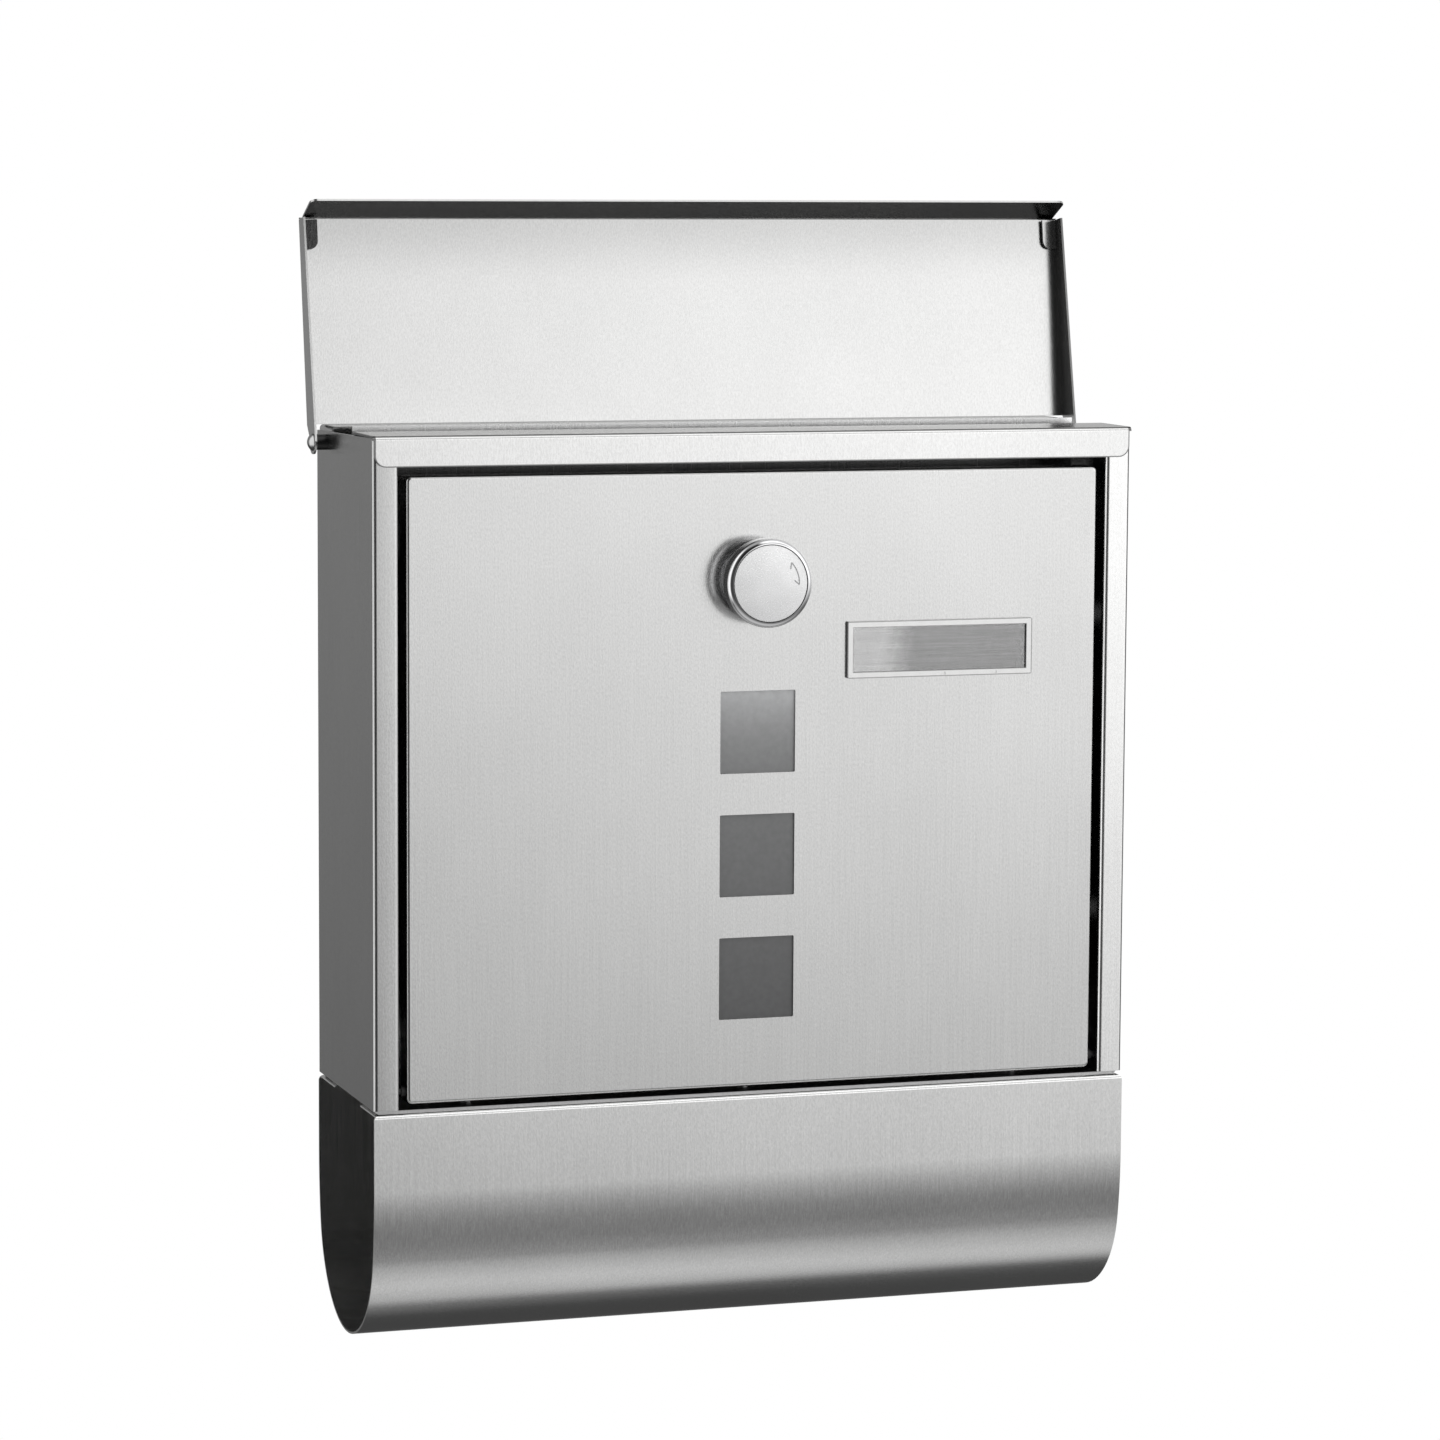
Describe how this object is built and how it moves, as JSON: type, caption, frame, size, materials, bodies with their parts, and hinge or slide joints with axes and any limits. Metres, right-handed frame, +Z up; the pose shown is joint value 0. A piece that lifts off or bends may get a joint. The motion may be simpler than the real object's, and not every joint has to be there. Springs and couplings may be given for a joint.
{
  "type": "wall mounted mailbox",
  "caption": "Folded stainless wall mailbox with a hinged lid over its letter slot, a tilting door with square windows and a turn knob, and an open newspaper roll below.",
  "frame": {"origin": "centre of the four wall holes, on the outer face of the back", "axes": "+Z up, +Y into the wall, -Y out of the front, +X to the right seen from the front"},
  "size_m": [0.3146, 0.1069, 0.4296],
  "materials": {
    "brushed_sheet": "fine brushed stainless sheet",
    "inner_sheet": "mill finish stainless sheet",
    "door_sheet": "fine brushed stainless sheet",
    "rivet_metal": "smooth rivet metal",
    "hardware": "zinc plated",
    "chrome": "bright plated",
    "knob_face": "satin disc",
    "brass": "machined",
    "bush_plastic": "black nylon",
    "clear_plastic": "clear acrylic",
    "holder_plastic": "clear moulded plastic",
    "card": "brushed blank card"
  },
  "bodies": {
    "box": {"body_shell": "brushed_sheet", "top_rail": "brushed_sheet", "rear_top_plate": "brushed_sheet", "letter_guide": "inner_sheet", "floor_plate": "inner_sheet", "newspaper_roll": "brushed_sheet", "roll_rivets": "rivet_metal", "lid_rivets": "rivet_metal", "lid_spacers": "rivet_metal", "lock_strike": "inner_sheet", "door_hinge_pins": "hardware"},
    "lid": {"lid": "brushed_sheet"},
    "door": {"door_pan": "door_sheet", "door_hinge_bushes": "bush_plastic", "window_pane": "clear_plastic", "window_retainer": "inner_sheet", "retainer_studs": "hardware", "retainer_nuts": "hardware", "name_plate_frame": "holder_plastic", "name_plate_cover": "clear_plastic", "name_plate_card": "card", "name_plate_clips": "hardware", "lock_collar": "chrome", "lock_barrel": "brass", "lock_nut": "hardware", "lock_washer": "hardware"},
    "knob": {"knob": "chrome", "knob_cap": "knob_face", "spindle": "brass", "latch_tongue": "hardware", "latch_screw": "hardware"}
  },
  "joints": [
    {"name": "lid_hinge", "type": "hinge", "parent": "box", "child": "lid", "pos_m": [0, -0.0152, 0.1339], "axis": [1, 0, 0], "range_deg": [0, 99]},
    {"name": "door_hinge", "type": "hinge", "parent": "box", "child": "door", "pos_m": [0, -0.0821, -0.1047], "axis": [1, 0, 0], "range_deg": [0, 105]},
    {"name": "knob_turn", "type": "hinge", "parent": "door", "child": "knob", "pos_m": [0, -0.0859, 0.0838], "axis": [0, -1, 0], "range_deg": [0, 90]}
  ]
}
